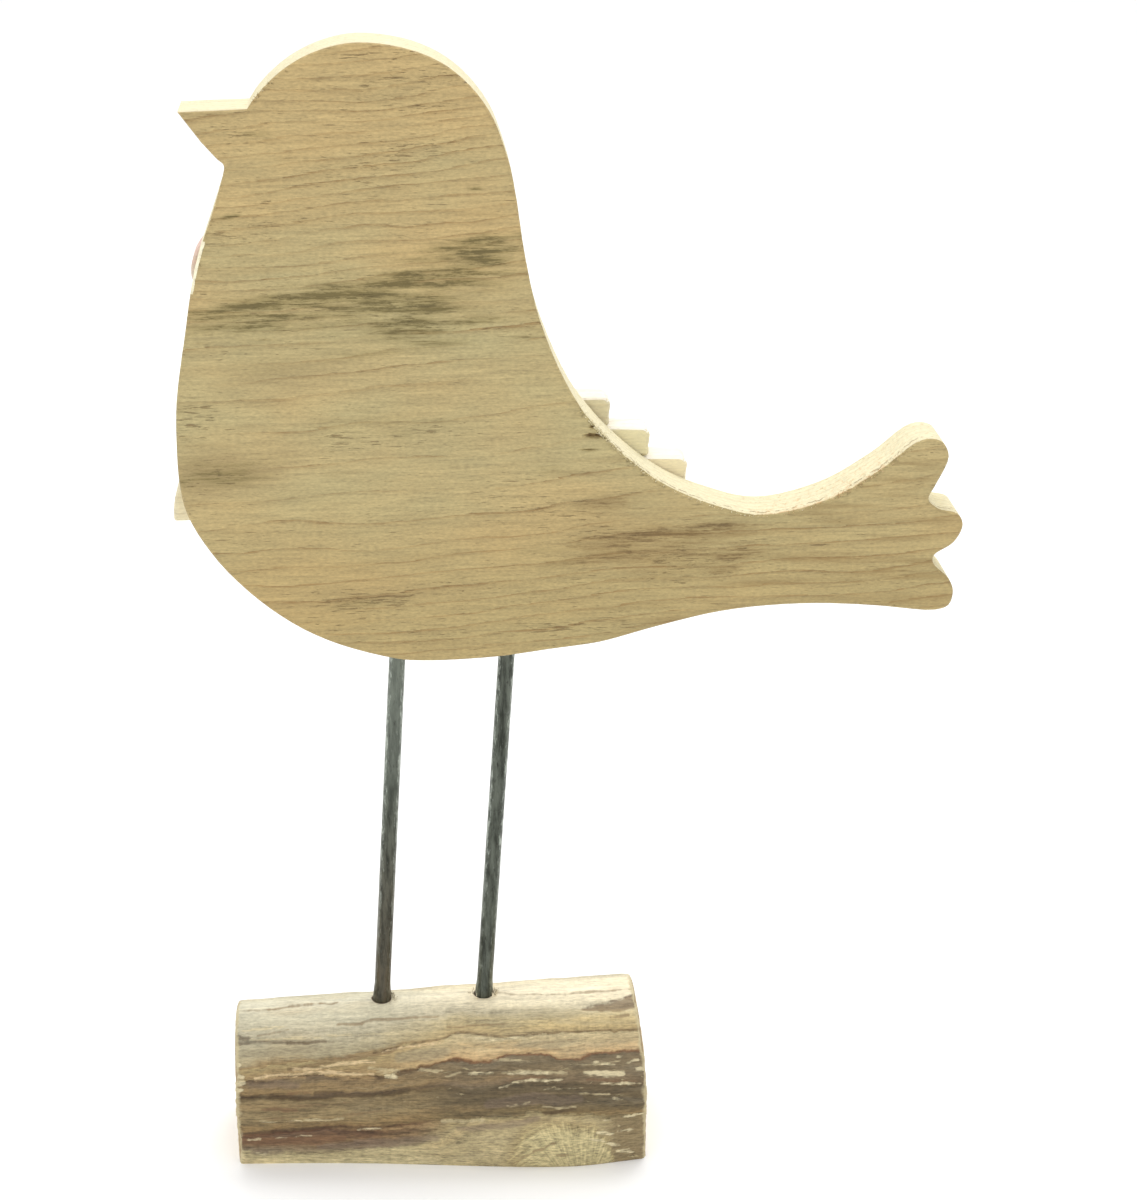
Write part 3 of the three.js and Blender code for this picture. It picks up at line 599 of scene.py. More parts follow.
def log_bark():
    """The log's skin: worn wood in layers, with its streaks, torn flecks and a knot whose fibres fan out."""
    finish = Finish("weathered log", roughness=0.82)
    place = finish.place()
    x, y, z = place.split()
    layer = finish.attribute("layer")
    tail_side = (x + place.noise(0.05) * 8).rise(-18, 8)
    weather = place.noise(0.03, 0.3, 0.3, detail=4, roughness=0.6)
    fibres = place.noise(0.09, 1, 1, detail=4, roughness=0.64)
    speckle = place.noise(0.6, 2.3, 2.3, roughness=0.65)
    cross = place.noise(1.5, 0.22, 0.12) * place.noise(0.06, 0.2, 0.2).rise(-0.4, 0.5)
    flow = finish.node("CombineXYZ", {}, (x, layer * 5, y * 0.1))
    strata = flow.noise(0.035, 0.75, 1, detail=5, roughness=0.64)
    hues = flow.noise(0.03, 0.45, 1, detail=3)
    frayed = layer + strata * 0.05 + fibres * 0.05
    # The ramps pale the top layer towards the crest, in part as a painted highlight.
    wood = finish.mix(tail_side, layer_ramp(finish, frayed, "beak"), layer_ramp(finish, frayed, "tail"))
    wood = wood.tint(hues.rise(0, 0.9) * 0.28, 178, 146, 98)
    wood = wood.tint(hues.rise(0, -0.9) * 0.35, 134, 128, 110)
    threads = place.noise(0.14, 2.4, 2.4, detail=3, roughness=0.7) * layer.rise(2.6, 3.6)
    grit = fibres * 0.4 + speckle * 0.42 + threads * 0.5
    calm = layer.rise(0, 0.8) * 0.4 + 0.6
    wood = finish.shade(wood, (weather * 0.12 + strata * 0.28 + cross * 0.14 + grit) * calm)
    # Dark cracks and pale torn fibres that follow the layers
    cracks = strata.rise(-0.5, -0.95) * layer.rise(5.2, 4.6)
    wood = wood.tint(cracks * 0.5, 76, 58, 36)
    brown = layer.rise(1.95, 2.15) * layer.rise(4.2, 2.9)
    low = layer.rise(4.4, 4.9) * x.rise(40, 46)
    chips = flow.noise(0.16, 1.1, 1, detail=3, roughness=0.65).rise(0.38, 0.62)
    flecks = chips * (brown * (0.25 + tail_side * 0.75) + low)
    wood = wood.tint(flecks * 0.75, 192, 176, 134)
    # The knot at the foot: its fibres fan out upwards, and bend round it towards the beak
    out_x, out_z = x - KNOT_HEART[0], z - KNOT_HEART[1]
    reach = (out_x * out_x + out_z * out_z) ** 0.5
    fan = finish.node("CombineXYZ", {}, (out_x / out_z * 30, reach * 0.12, y * 0.3))
    strands = fan.noise(0.9, 1, 1, detail=4, roughness=0.66)
    bend = finish.node("CombineXYZ", {}, (reach, out_x * 0.12, y * 0.3))
    arcs = bend.noise(0.9, 1, 1, detail=4, roughness=0.66)
    strands = strands * x.rise(22, 30) + arcs * x.rise(34, 24) * 0.9
    inside = finish.attribute("knot") * x.rise(12, 27)
    knot = (inside + strands * 0.2).rise(0.05, 0.6)
    pale = (inside + strands * 0.4).rise(0.1, 1)
    knot_wood = finish.mix(pale, srgb(150, 130, 88), srgb(190, 177, 132))
    wood = finish.mix(knot * 0.9, wood, finish.shade(knot_wood, strands * 0.5 + speckle * 0.7))
    dark_foot = x.rise(40, 47) * layer.rise(3.9, 4.5) * (1 - knot)
    shadow = finish.shade(srgb(112, 94, 64), fibres * 0.3 + speckle * 0.3)
    wood = finish.mix(dark_foot * 0.7 * (1 - flecks), wood, shadow)
    relief = flecks * 0.8
    for name, (colour, strength, proud, _) in MARKS.items():
        soft = 0.3 if name in ("tan", "mauve", "gold") else 0.1
        mark = (finish.attribute(name) + fibres * 0.26 + speckle * 0.14).rise(0.45 - soft, 0.6 + soft)
        toned = finish.shade(srgb(*colour), strata * 0.25 + fibres * 0.3 + speckle * 0.3)
        wood = finish.mix(mark * (strength * 0.85 + hues * 0.2), wood, toned)
        if proud:
            relief = relief + mark * (3 * proud)
    # Worn ends and drilled rims
    worn = finish.attribute("worn")
    wood = wood.tint((worn + (fibres + cross) * 0.35 * worn).rise(0.3, 0.8) * 0.8, 200, 186, 146)
    rim = finish.attribute("rim")
    wood = wood.tint((rim + fibres * 0.25).rise(0.15, 0.8), 84, 62, 38)
    relief = strata * 0.7 + fibres * 0.6 + relief + strands * knot * 0.5 + cross * 0.2
    return finish.done(wood, relief, 0.25, Roughness=0.8 + weather * 0.05)


def log_end():
    """The log's sawn ends: rings about the heart, fine cracks and saw marks."""
    finish = Finish("log end grain", roughness=0.85)
    place = finish.place()
    x, y, z = place.split()
    out_y, out_z = y - LOG_HEART[0], z - LOG_HEART[1]
    wobble = place.noise(0.05)
    reach = (out_y * out_y + out_z * out_z) ** 0.5 + wobble * 1.2
    phase = (reach * 0.55).fraction()
    rings = phase.rise(0.3, 0.9) * phase.rise(1, 0.92)
    angle = finish.node("Math", {"operation": "ARCTAN2"}, (out_y, out_z))
    ray_place = finish.node("CombineXYZ", {}, (angle * 5, reach * 0.04, x * 0.02))
    rays = ray_place.noise(1, detail=5)
    gappy = place.noise(0.1, 0.12, 0.12).rise(0, 0.5)
    cracks = abs(rays).rise(0.03, 0) * reach.rise(4, 12) * gappy
    saw = place.noise(0.5, 0.08, 1.4, detail=3)
    wood = finish.mix(reach.rise(6, 20), srgb(188, 160, 116), srgb(214, 196, 156))
    wood = wood.tint(rings * 0.26, 166, 136, 92)
    wood = finish.shade(wood, rays * 0.08 + saw * 0.1)
    wood = wood.tint(cracks * 0.6, 112, 88, 58)
    skin = finish.attribute("skin")
    wood = wood.tint(skin.rise(0.9, 0.985) * 0.7, 132, 108, 76)
    relief = saw * 0.5 - rings * 0.3 - cracks * 1.5
    return finish.done(wood, relief, 0.25)


def rod_metal():
    """Dark bare steel, mottled and rub-marked, painted paler along its left and right sides as a reflection,
    with brown at the front rod's foot.
    """
    finish = Finish("dark steel rod", Metallic=0.75)
    place = finish.place()
    x, _, z = place.split()
    across = finish.attribute("across")
    clouds = place.noise(0.6, 0.6, 0.1, detail=5, roughness=0.7)
    marks = place.noise(1.4, 1.4, 0.3, detail=4, roughness=0.75)
    # Rub marks, and a painted reflection on the rod's left and right sides as seen from the front.
    rubs_and_side_sheen = (marks + across.rise(0.3, 0.95) * 0.6).rise(0.3, 0.95)
    pits = place.noise(1.3, 1.3, 0.45, detail=3, roughness=0.6).rise(-0.25, -0.8)
    metal = finish.mix(clouds.rise(-0.6, 0.6), srgb(45, 48, 41), srgb(99, 104, 94))
    bright = z.rise(85, 122) * x.rise(2, -4)
    metal = metal.tint(bright * 0.25, 148, 156, 144)
    metal = metal.tint(rubs_and_side_sheen * (z.rise(50, 95) * 0.4 + 0.3), 190, 198, 186)
    metal = metal.tint(pits * 0.75, 34, 33, 28)
    rust = z.rise(110, 38) * x.rise(0, -4) * (clouds + 0.6)
    metal = metal.tint(rust * 0.6, 90, 70, 48)
    relief = rubs_and_side_sheen * 0.6 + clouds * 0.4 - pits
    return finish.done(metal, relief, 0.08, Roughness=0.34 + clouds * 0.1)


# Shapes

def clamp(value):
    return min(max(value, 0.0), 1.0)


def turbulence(x, y, z):
    return noise.fractal(Vector((x, y, z)), 1.0, 2.0, 3)


def in_scene(name, data):
    """An object in the scene, with its data."""
    made = bpy.data.objects.new(name, data)
    bpy.context.scene.collection.objects.link(made)
    return made


def mesh_from(bm, name):
    mesh = bpy.data.meshes.new(name)
    bm.to_mesh(mesh)
    bm.free()
    return mesh


def solid_copy(node):
    """A node's solid in millimetres, merged, with each flat part one face."""
    bm = bmesh.new()
    bm.from_mesh(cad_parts[node].data)
    bmesh.ops.scale(bm, vec=(1 / MM,) * 3, verts=bm.verts)
    bmesh.ops.remove_doubles(bm, verts=bm.verts, dist=0.002)
    bmesh.ops.dissolve_limit(bm, angle_limit=math.radians(0.3), verts=bm.verts, edges=bm.edges)
    return bm


def cut_across(bm, place, along, geom=None, **options):
    """Cuts all faces, or those given, with the plane through a place."""
    if geom is None:
        geom = bm.verts[:] + bm.edges[:] + bm.faces[:]
    return bmesh.ops.bisect_plane(bm, geom=geom, dist=1e-4, plane_co=place, plane_no=along, **options)


def slice_up(bm, axis, step, box=None):
    """Cuts the faces with parallel planes a step apart, all of them or those in a box of x and z."""
    normal = Vector((axis == "x", axis == "y", axis == "z"))
    index = "xyz".index(axis)
    places = [v.co[index] for v in bm.verts]
    low, high = (min(places), max(places)) if box is None else box[axis]
    for i in range(1, round((high - low) / step)):
        faces = [f for f in bm.faces if box is None or touches(f, box)]
        edges = list({e for f in faces for e in f.edges})
        verts = list({v for e in edges for v in e.verts})
        cut_across(bm, normal * (low + i * step), normal, verts + edges + faces)


def touches(face, box):
    """Whether a face of the board's plain side lies in the box."""
    centre = face.calc_center_median()
    return (
        centre.y < -FACE_ENDS + 0.5
        and box["x"][0] < centre.x < box["x"][1]
        and box["z"][0] < centre.z < box["z"][1]
    )


def bar(bm, low, high, radius, tip, sides):
    """A closed bar between two points, with its radius at each."""
    along = high - low
    turn = along.to_track_quat("Z", "Y").to_matrix().to_4x4()
    return bmesh.ops.create_cone(
        bm, cap_ends=True, segments=sides, radius1=radius, radius2=tip, depth=along.length,
        matrix=Matrix.Translation((low + high) / 2) @ turn,
    )


def splinter(bm, root, tip, thick, index):
    """A torn fibre from root to tip. Gives back its vertices."""
    made = bar(bm, root, tip, thick, thick * 0.2, 5)["verts"]
    for face in {f for v in made for f in v.link_faces}:
        face.material_index = index
    return made


def add_piece(bm, name, node, materials, sharp=35.0):
    """Makes the finished shape a piece that stands for a node."""
    bmesh.ops.scale(bm, vec=(MM,) * 3, verts=bm.verts)
    bm.normal_update()
    mesh = mesh_from(bm, name)
    for material in materials:
        mesh.materials.append(material)
    mesh.polygons.foreach_set("use_smooth", [True] * len(mesh.polygons))
    mesh.set_sharp_from_angle(angle=math.radians(sharp))
    piece = in_scene(name, mesh)
    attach(piece, "root")
    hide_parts(node)


def paint(bm, name, value_at):
    """Stores a value at every vertex for a finish to read."""
    layer = bm.verts.layers.float.new(name)
    for v in bm.verts:
        v[layer] = value_at(v)


def cloud_at(spots, x, z):
    """How strong the spots are at a place of the plain face. They fray along the grain and run together."""
    x, z = x + 5.0 * turbulence(x * 0.08, 1.0, z * 0.6), z + 0.6 * turbulence(x * 0.15, 5.0, z * 0.35)
    clear = 1.0
    for spot_x, spot_z, length, height, strength in spots:
        away = ((x - spot_x) / length) ** 2 + ((z - spot_z - 0.05 * (x - spot_x)) / height) ** 2
        clear *= 1.0 - min(0.95, strength * 0.9) * math.exp(-away)
    return 1.0 - clear


def plain_face_or_wing_face(spots, place):
    """The spots as they are on the plain face, and fainter and elsewhere on the face with the wing."""
    if place.y < 0:
        return cloud_at(spots, place.x, place.z)
    return 0.4 * cloud_at(spots, 30 - place.x, place.z - 12)


def hollow_at(x, z):
    """How deep the plain face is broken at a place."""
    deep = 0.0
    for hollow_x, hollow_z, length, height, depth in HOLLOWS:
        ragged = 0.35 * turbulence(x * 0.9, 0.0, z * 2.0)
        away = ((x - hollow_x) / length) ** 2 + ((z - hollow_z) / height) ** 2
        deep = max(deep, depth * max(0.0, 1.0 - away + ragged))
    return deep


def torn_at(v):
    """How far the saw has torn the board's edge at a vertex."""
    if v.co.y > TORN_NEAR or v.co.z < TORN_ABOVE:
        return 0.0
    return max((reach for low, high, reach in TORN if low < v.co.x < high), default=0.0)


def on_highlit_breast_edge(place):
    """Whether a place is on the breast's near edge, where the arris is worn wider and the sawn edge is
    painted paler as a highlight.
    """
    low, high = HIGHLIT_EDGE_HEIGHTS
    return place.x < HIGHLIT_EDGE_LEFT_OF and place.y < 0 and low < place.z < high


def worn_by(v):
    """How the grain, the saw and wear move a vertex of the board."""
    x, y, z = v.co
    side = math.copysign(1.0, y)
    outward = Vector((v.normal.x, 0.0, v.normal.z))
    move = Vector()
    if abs(y) > FACE_ENDS:
        move.y = -side * 0.05 * turbulence(x * 0.05, side * 20, z * 0.8)
        if y < 0:
            move.y += hollow_at(x, z)
    elif abs(y) < SAWN_TO:
        rough = 0.14 if ROUGH_SAWN[0] < x < ROUGH_SAWN[1] and y < 2 else 0.06
        move = outward * rough * turbulence(x * 0.6, y * 0.08, z * 0.6)
    if abs(y) > WEAR_STARTS:
        wear = turbulence(x * 0.09, side * 7, z * 0.09)
        move -= outward * max(0.0, 0.12 + 0.14 * wear + 0.4 * on_highlit_breast_edge(v.co)) * (abs(y) - WEAR_STARTS)
    return move


def sawn_bird():
    """The board: worn along its edges, broken at its nick and torn by the saw."""
    bm = solid_copy("bird_board")
    for axis, step in BOARD_STEP.items():
        slice_up(bm, axis, step)
    for hollow_x, hollow_z, length, height, _ in HOLLOWS:
        box = {
            "x": (hollow_x - length - 1.0, hollow_x + length + 1.0),
            "z": (hollow_z - height - 0.8, hollow_z + height + 0.8),
        }
        for axis, step in FINE_STEP.items():
            slice_up(bm, axis, step, box)
    bm.normal_update()
    for face in bm.faces:
        centre = face.calc_center_median()
        # On the breast's near edge the sawn edge's finish, with its painted highlight, reaches onto the
        # arris.
        face_ends = FACE_ENDS if on_highlit_breast_edge(centre) else ARRIS
        face.material_index = 0 if abs(centre.y) > face_ends else 1
    edge_roots = []
    for v in bm.verts:
        move = worn_by(v)
        torn = torn_at(v)
        if torn and v.normal.z > 0.05:
            ragged = turbulence(v.co.x * 1.1, v.co.y, v.co.z * 1.1)
            move += TORN_PULL * torn * max(0.0, ragged + 0.1)
            if v.co.y < -6.8:
                edge_roots.append((v.co.copy(), v.normal.copy(), torn))
        v.co += move
    for root, normal, torn in edge_roots:
        if chance.random() < LIFTED_SHARE:
            lean = Vector((chance.uniform(-0.6, 0.6), chance.uniform(-0.5, 0.1), chance.uniform(-0.2, 0.6)))
            tip = root + (normal * 0.5 + lean) * min(torn, 0.6) * chance.uniform(0.6, 1.6)
            splinter(bm, root - normal * 0.2, tip, chance.uniform(0.06, 0.16), 1)
    for _ in range(NICK_SPLINTERS):
        root = Vector((chance.uniform(*NICK["x"]), -6.9, chance.uniform(*NICK["z"])))
        tip = root + Vector((chance.uniform(0.6, 2.0), -0.6, chance.uniform(-0.5, 0.3)))
        splinter(bm, root, tip, chance.uniform(0.06, 0.13), 1)
    paint(bm, "sunk", lambda v: hollow_at(v.co.x, v.co.z) if v.co.y < 0 else 0.0)
    for name, spots in {"stain": STAINS, "pitted": PITTED, "browned": BROWNED}.items():
        paint(bm, name, lambda v: plain_face_or_wing_face(spots, v.co))
    add_piece(bm, "sawn_bird", "bird_board", [board_face(), board_edge()])


def between(knots, x):
    """A smooth line through knots, read at x."""
    for (x0, y0), (x1, y1) in zip(knots, knots[1:]):
        if x <= x1:
            t = max(0.0, (x - x0) / (x1 - x0))
            t = t * t * (3 - 2 * t)
            return y0 + (y1 - y0) * t
    return knots[-1][1]


def layer_at(x, lift):
    """Which layer of the log shows, counted from 0 at the crest, with its share to the next."""
    borders = [LIFT_TOP, *[between(line, x) for line in LAYERS], LIFT_FOOT]
    for i, (upper, lower) in enumerate(zip(borders, borders[1:])):
        if lift >= lower:
            return i + clamp((upper - lift) / max(upper - lower, 0.3))
    return len(LAYERS) + 1.0


def mark_at(streaks, x, lift):
    """How near a place is to the nearest streak: 0.5 on its border and more within. Streaks are frayed."""
    best = 0.0
    for half, *points in streaks:
        start, end = points[0][0], points[-1][0]
        if not start - MARK_BLUR < x < end + MARK_BLUR:
            continue
        for (x0, lift0), (x1, lift1) in zip(points, points[1:]):
            if x <= x1:
                break
        middle = lift0 + (lift1 - lift0) * (min(max(x, x0), x1) - x0) / (x1 - x0)
        if isinstance(half, tuple):
            half = half[0] + (half[1] - half[0]) * clamp((x - start) / (end - start))
        if abs(lift - middle) > half + 1.5 * MARK_BLUR:
            continue
        waver = turbulence(x * 0.22, start, middle)
        fray = turbulence(x * 0.8, middle * 2.0, start)
        from_end = min(x - start, end - x)
        taper = min(1.0, 0.7 + 0.9 * max(from_end, 0.0) / (end - start))
        off = math.hypot(lift - middle - 0.3 * waver, min(from_end, 0.0))
        best = max(best, 0.5 + (half * taper + 0.7 * min(half, 0.3) * fray - off) / MARK_BLUR)
    return min(best, 1.0)


def relief_at(layer):
    index = min(int(layer), len(LAYER_RELIEF) - 1)
    upper, lower = LAYER_RELIEF[index]
    share = layer - index
    before = LAYER_RELIEF[index - 1][1] if index else upper
    step = min(1.0, share / 0.06)
    return before + (upper + (lower - upper) * share - before) * step


def corner_cut(z):
    """How far the log's tail end leans back at a height."""
    depth, from_z, height = LOG_CORNER
    return depth * max(0.0, (z - from_z) / height) ** 2


def on_log(along, across, up):
    """A place of the unit log, from -1 to 1 each way, on the log that the solid has."""
    t = (along + 1) / 2
    x = LOG_LEFT + (LOG_RIGHT - LOG_LEFT) * t
    from_end = min(x - LOG_LEFT, LOG_RIGHT - x)
    into_edge = max(0.0, 1.0 - from_end / LOG_EDGE)
    worn = LOG_EDGE * (1.0 - math.sqrt(max(0.0, 1.0 - into_edge**2)))
    t = clamp((x - LOG_LEFT - LOG_EDGE) / (LOG_RIGHT - LOG_LEFT - 2 * LOG_EDGE))
    crest = LOG_CREST[0] + (LOG_CREST[1] - LOG_CREST[0]) * t - worn
    halves = LOG_FAR if across > 0 else LOG_NEAR
    half = halves[0] + (halves[1] - halves[0]) * t - worn
    z = LOG_WIDEST + up * (crest - LOG_WIDEST if up > 0 else LOG_BELOW)
    x -= corner_cut(z) * t
    reach = BURL["left"] if x < BURL["x"] else BURL["right"]
    off = ((x - BURL["x"]) / reach) ** 2 + (max(z, 0.0) / BURL["height"]) ** 2
    y = across * half - BURL["proud"] * math.exp(-off) * max(-across, 0.0)
    return Vector((x, y, z))


def rod_at(node, z):
    """Where a rod's middle line is at a height."""
    at_log, at_board = RODS[node]
    return Vector((at_log + (at_board - at_log) * (z - LOG_LEVEL) / (BOARD_LEVEL - LOG_LEVEL), 0.0, z))


def hole_at(node, z):
    """Where a hole's middle line is at a height: the rod stands near its front."""
    return rod_at(node, z) + Vector((0.0, HOLE_BACK, 0.0))


def drilled(bm):
    """The log with its two holes."""
    holes = bmesh.new()
    for node in RODS:
        low, high = (hole_at(node, end) for end in HOLE_ENDS)
        bar(holes, low, high, HOLE_RADIUS, HOLE_RADIUS, 40)
    blank = in_scene("log_blank", mesh_from(bm, "log_blank"))
    drill = in_scene("drill", mesh_from(holes, "drill"))
    cut = blank.modifiers.new("holes", "BOOLEAN")
    cut.operation, cut.object, cut.solver = "DIFFERENCE", drill, "EXACT"
    result = blank.evaluated_get(bpy.context.evaluated_depsgraph_get())
    done = bmesh.new()
    done.from_mesh(result.to_mesh())
    for made in (blank, drill):
        mesh = made.data
        bpy.data.objects.remove(made)
        bpy.data.meshes.remove(mesh)
    return done


def log_blank():
    """The log before its layers are cut: a fine round bar, brought to shape, sawn flat below and drilled."""
    bm = bmesh.new()
    lying = Matrix.Rotation(math.pi / 2, 4, "Y")
    bmesh.ops.create_cone(bm, cap_ends=True, segments=LOG_SIDES, radius1=1, radius2=1, depth=2, matrix=lying)
    long_edges = [e for e in bm.edges if abs(e.verts[0].co.x - e.verts[1].co.x) > 1]
    bmesh.ops.subdivide_edges(bm, edges=long_edges, cuts=LOG_CUTS)
    for _ in range(END_RINGS):
        ends = [f for f in bm.faces if len(f.verts) > 4]
        bmesh.ops.inset_individual(bm, faces=ends, thickness=1 / (END_RINGS + 1))
    bmesh.ops.poke(bm, faces=[f for f in bm.faces if len(f.verts) > 4])
    paint(bm, "skin", lambda v: math.hypot(v.co.y, v.co.z))
    for v in bm.verts:
        around = math.atan2(v.co.z, v.co.y)
        out = math.hypot(v.co.y, v.co.z)
        around += LOG_CROWDING * math.sin(around)
        v.co = on_log(v.co.x, out * math.cos(around), out * math.sin(around))
    cut = cut_across(bm, (0, 0, 0), (0, 0, -1), clear_outer=True)
    rim = [g for g in cut["geom_cut"] if isinstance(g, bmesh.types.BMEdge)]
    bmesh.ops.edgeloop_fill(bm, edges=rim)
    bmesh.ops.recalc_face_normals(bm, faces=bm.faces)
    return drilled(bm)


def log():
    """The log, with its torn layers, fibres, worn ends and ragged holes."""
    bm = log_blank()
    bm.normal_update()
    skin = bm.verts.layers.float["skin"]
    layer, worn, rim, knot = (bm.verts.layers.float.new(name) for name in ("layer", "worn", "rim", "knot"))
    marks = {name: bm.verts.layers.float.new(name) for name in MARKS}
    for v in bm.verts:
        x, y, z = v.co
        lift = z * LIFT[0] + abs(y) * LIFT[1]
        ragged = 0.55 * turbulence(x * 0.35, y * 0.2, z * 0.6) + 0.3 * turbulence(x * 1.1, y * 0.6, z * 1.6)
        v[layer] = layer_at(x if y < 0 else -x, lift + ragged)
        from_hole = min((v.co - hole_at(node, z)).length for node in RODS)
        v[rim] = max(0.0, 1.0 - (from_hole - HOLE_RADIUS) / 0.6) if z > 30 else 0.0
        from_end = min(x - LOG_LEFT, LOG_RIGHT - corner_cut(z) - x)
        v[worn] = max(0.0, 1.0 - from_end / (1.9 + 1.2 * turbulence(x * 0.2, y * 0.5, z * 0.5)))
        move = Vector()
        if v[skin] > 0.99 and z > 0.05 and from_hole > HOLE_RADIUS - 0.2:
            fibres = turbulence(x * 0.06, y * 1.1, z * 1.1)
            lumps = turbulence(x * 0.05, y * 0.08, z * 0.08)
            lift_off = relief_at(v[layer]) + 0.16 * fibres + 0.35 * lumps - 0.25 * v[worn]
            if y < MARKED_TO:
                height = z * LIFT[0] - y * LIFT[1]
                sway = 0.35 * turbulence(x * 0.12, 3.0, z * 0.1)
                for name, (_, _, proud, streaks) in MARKS.items():
                    v[marks[name]] = mark_at(streaks, x, height + sway)
                    lift_off += proud * max(0.0, v[marks[name]] - 0.3)
                v[knot] = clamp((between(KNOT_TOP, x) - height) / KNOT_BLUR)
            move = v.normal * lift_off * min(1.0, z / 1.5)
        if v[worn] > 0.3:
            move.x += math.copysign(0.3, -x) * max(0.0, turbulence(y * 0.5, z * 0.5, x * 0.1))
        v.co += move
    for face in bm.faces:
        flat_end = abs(face.normal.x) > 0.8 and sum(v[skin] for v in face.verts) / len(face.verts) < 0.99
        face.material_index = 1 if flat_end or face.normal.z < -0.98 else 0
    for node in RODS:
        foot = hole_at(node, on_log(RODS[node][0] / LOG_RIGHT, 0.0, 1.0).z + 0.1)
        for i in range(HOLE_SPLINTERS):
            angle = chance.gauss(0.0, 0.5) + math.pi * (node == "leg_rear" and i % 3 == 0)
            out = Vector((math.cos(angle), math.sin(angle), 0))
            root = foot + out * (HOLE_RADIUS + chance.uniform(0.0, 1.1)) + Vector((0, 0, -0.4))
            lean = out * chance.uniform(0.2, 1.0)
            lean += Vector((chance.uniform(-0.6, 0.6), 0, chance.uniform(0.5, 1.8)))
            fibre = splinter(bm, root, root + lean, chance.uniform(0.14, 0.3), 0)
            tone = chance.uniform(0.2, 0.5)
            for v in fibre:
                v[rim] = tone
    add_piece(bm, "log", "log_base", [log_bark(), log_end()], sharp=50.0)


def rods():
    """The two legs, with the faint unevenness of drawn rod and a thicker foot."""
    metal = rod_metal()
    for node in RODS:
        bm = bmesh.new()
        low, high = (rod_at(node, end) for end in ROD_ENDS)
        bar(bm, low, high, ROD_RADIUS, ROD_RADIUS, 48)
        long_edges = [e for e in bm.edges if e.calc_length() > 20]
        bmesh.ops.subdivide_edges(bm, edges=long_edges, cuts=120)
        for v in bm.verts:
            middle = rod_at(node, v.co.z)
            swell = FOOT_SWELL * clamp((LOG_LEVEL + FOOT_HEIGHT - v.co.z) / 3.0)
            v.co += (v.co - middle) * (swell + 0.012 * turbulence(v.co.x, v.co.y, v.co.z * 0.15))
        # How far across the rod, seen from the front, a place lies: the finish paints its side reflection
        # with it.
        paint(bm, "across", lambda v: abs(v.co.x - rod_at(node, v.co.z).x) / ROD_RADIUS)
        add_piece(bm, node.replace("leg", "rod"), node, [metal])


def worn_tail_end(bm, droop):
    """Rounds a lath's upper corner at the tail end, where the lath also droops and leans in a little."""
    right = max(v.co.x for v in bm.verts)
    top = max(v.co.z for v in bm.verts)
    for i in range(1, 6):
        into = i * LATH_ROUNDING / 5
        for place, along in (((right - into, 0, 0), (1, 0, 0)), ((0, 0, top - into), (0, 0, 1))):
            cut_across(bm, place, along)
    for v in bm.verts:
        out_x = v.co.x - right + LATH_ROUNDING
        out_z = v.co.z - top + LATH_ROUNDING
        if out_x > 0 and out_z > 0:
            pull = 1.0 - max(out_x, out_z) / math.hypot(out_x, out_z)
            v.co.x -= out_x * pull
            v.co.z -= out_z * pull
        end = clamp((v.co.x - right + LATH_DROOP_FROM) / LATH_DROOP_FROM)
        below = min(top - v.co.z, 5.0)
        v.co.x += (LATH_REACH - 0.12 * below) * end
        v.co.z -= droop * end * (1.0 - below / 5.0)


def glued_piece(node, name, materials):
    """A lath or round, with its arrises worn and its faces a little uneven from the saw."""
    bm = solid_copy(node)
    arrises = [e for e in bm.edges if e.calc_face_angle() > 1.0]
    bmesh.ops.bevel(bm, geom=arrises, offset=LATH_ARRIS, segments=4, profile=0.5, affect="EDGES")
    for axis, step in LATH_STEP.items():
        slice_up(bm, axis, step)
    if node in LATH_DROOP:
        worn_tail_end(bm, LATH_DROOP[node])
    bm.normal_update()
    for v in bm.verts:
        v.co += v.normal * (0.07 * turbulence(v.co.x * 0.15, v.co.y * 0.6, v.co.z * 0.7) - 0.05)
    for face in bm.faces:
        # Faces that look up take the last finish, which for the laths is the painted highlight.
        face.material_index = len(materials) - 1 if face.normal.z > 0.5 else 0
    add_piece(bm, name, node, materials)


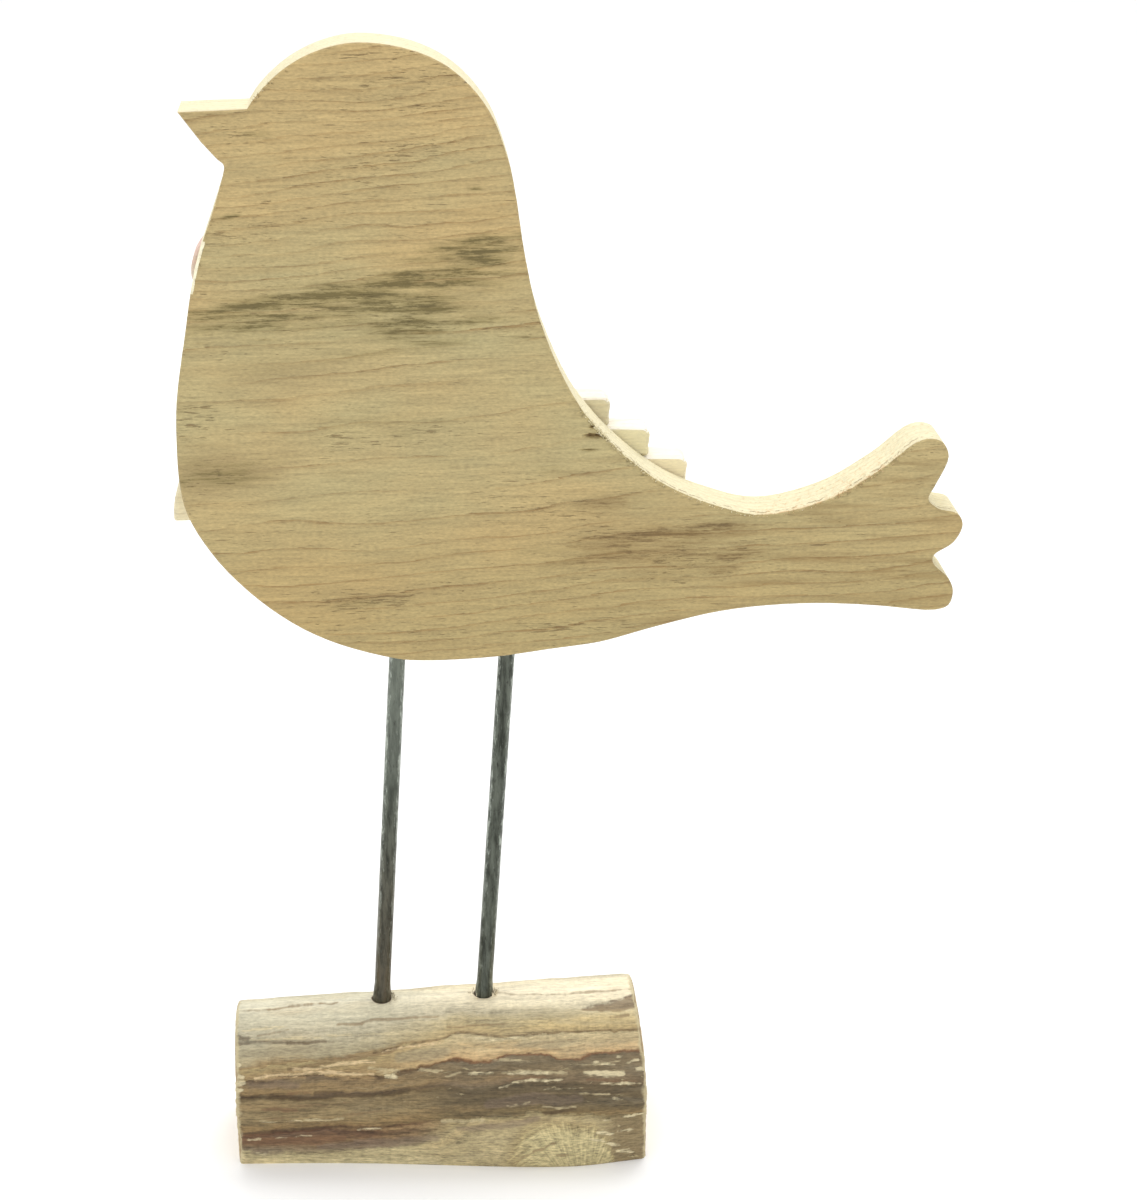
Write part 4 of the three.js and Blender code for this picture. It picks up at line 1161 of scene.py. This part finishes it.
def glued_pieces():
    """The three laths, each in its own tone, with their upper faces painted near white as a highlight from
    the light above, and the breast round.
    """
    # The laths' upper faces get near-white wood: a painted highlight where light falls from above.
    edge = lath_wood("lath top with painted highlight", (244, 240, 228), (238, 230, 212))
    for row, pale, warm, shift in (
        ("upper", (216, 207, 173), (210, 198, 161), (13, 0, 40)),
        ("middle", (230, 222, 184), (224, 213, 174), (-31, 4, 75)),
        ("lower", (242, 233, 200), (236, 223, 186), (57, 9, 120)),
    ):
        side = lath_wood("lath wood " + row, pale, warm, shift)
        glued_piece("wing_lath_" + row, "lath_" + row, [side, edge])
    washed = lath_wood("washed wood", (232, 222, 202), (222, 208, 184), (40, 0, 90), pink_wash)
    glued_piece("breast_disc", "breast_round", [washed])


# Studio

def aimed(name, data, place, towards):
    """A camera or light at a place, turned towards what it looks at."""
    made = in_scene(name, data)
    made.location = place
    made.rotation_mode = "QUATERNION"
    made.rotation_quaternion = Vector(towards).to_track_quat("-Z", "Y")
    return made


def camera():
    """Stands where the photographer's did."""
    data = bpy.data.cameras.new("camera")
    data.lens = LENS
    data.sensor_width = 36.0
    data.clip_start, data.clip_end = 0.01, 20.0
    bpy.context.scene.camera = aimed("camera", data, Vector(CAMERA_PLACE) * MM, CAMERA_LOOKS)


def softbox(name, place, size, watts):
    light = bpy.data.lights.new(name, "AREA")
    light.shape, light.size, light.energy = "SQUARE", size, watts
    aimed(name, light, place, Vector(FIGURE_MIDDLE) - Vector(place))


def studio():
    """A pale floor, soft light from above and behind, and an even fill."""
    bm = bmesh.new()
    bmesh.ops.create_grid(bm, x_segments=1, y_segments=1, size=6.0)
    floor = in_scene("floor", mesh_from(bm, "floor"))
    floor.data.materials.append(Finish("pale floor", roughness=0.9, Base_Color=srgb(253, 253, 253)).material)
    world = bpy.data.worlds.new("studio")
    world.use_nodes = True
    sky = world.node_tree.nodes["Background"].inputs
    sky["Color"].default_value = (1.0, 1.0, 1.0, 1.0)
    sky["Strength"].default_value = 1.0
    bpy.context.scene.world = world
    for name, (place, size, watts) in SOFTBOXES.items():
        softbox(name, place, size, watts)
    bpy.context.scene.view_settings.view_transform = "Standard"


camera()
sawn_bird()
rods()
log()
glued_pieces()
studio()
